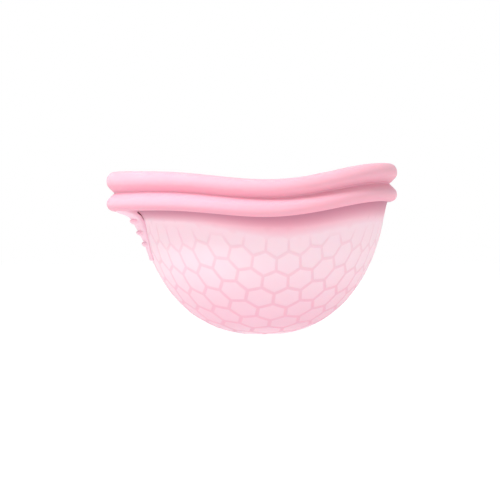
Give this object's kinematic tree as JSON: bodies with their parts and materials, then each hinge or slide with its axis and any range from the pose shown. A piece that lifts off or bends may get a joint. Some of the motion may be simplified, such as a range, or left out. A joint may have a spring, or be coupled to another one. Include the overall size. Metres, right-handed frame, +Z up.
{
  "type": "menstrual disc",
  "caption": "Reusable silicone menstrual disc: a wavy double-bead rim over a thin honeycomb bowl, with a ribbed pull tab under the front of the rim.",
  "frame": {"origin": "centre of the bounding box's underside, on the plane the bowl stands on", "axes": "+Z up out of the bowl's mouth, -X towards the pull tab, Y across the disc"},
  "size_m": [0.075, 0.075, 0.0438],
  "materials": {
    "rim_silicone": "satin translucent pink silicone",
    "collar_silicone": "satin translucent pink silicone",
    "bowl_silicone": "matte translucent pale pink silicone, thin wall",
    "tab_silicone": "satin translucent pale pink silicone"
  },
  "bodies": {
    "base": {"rim_front_upper_bead": "rim_silicone", "rim_front_waist": "rim_silicone", "rim_front_lower_bead": "rim_silicone", "rim_back_upper_bead": "rim_silicone", "rim_back_waist": "rim_silicone", "rim_back_lower_bead": "rim_silicone", "collar": "collar_silicone", "bowl_membrane": "bowl_silicone", "honeycomb_ribs": "bowl_silicone", "tab_root": "tab_silicone"},
    "near_side": {"rim_near_upper_bead": "rim_silicone", "rim_near_waist": "rim_silicone", "rim_near_lower_bead": "rim_silicone"},
    "far_side": {"rim_far_upper_bead": "rim_silicone", "rim_far_waist": "rim_silicone", "rim_far_lower_bead": "rim_silicone"},
    "tab": {"tab_tongue": "tab_silicone", "grip_rib_upper": "tab_silicone", "grip_rib_middle": "tab_silicone", "grip_rib_lower": "tab_silicone", "tab_tip_lip": "tab_silicone"}
  },
  "joints": [
    {"name": "pinch_near", "type": "slide", "parent": "base", "child": "near_side", "axis": [0, 1, 0], "range_m": [0, 0.018], "stiffness_N_per_m": 200},
    {"name": "pinch_far", "type": "slide", "parent": "base", "child": "far_side", "axis": [0, -1, 0], "range_m": [0, 0.018], "stiffness_N_per_m": 200},
    {"name": "tab_flex", "type": "hinge", "parent": "base", "child": "tab", "pos_m": [-0.03045, 0, 0.0292], "axis": [0, 1, 0], "range_deg": [0, 70], "stiffness_Nm_per_rad": 0.002}
  ],
  "couplings": [
    {"joint": "pinch_far", "follows": "pinch_near", "ratio": 1}
  ]
}
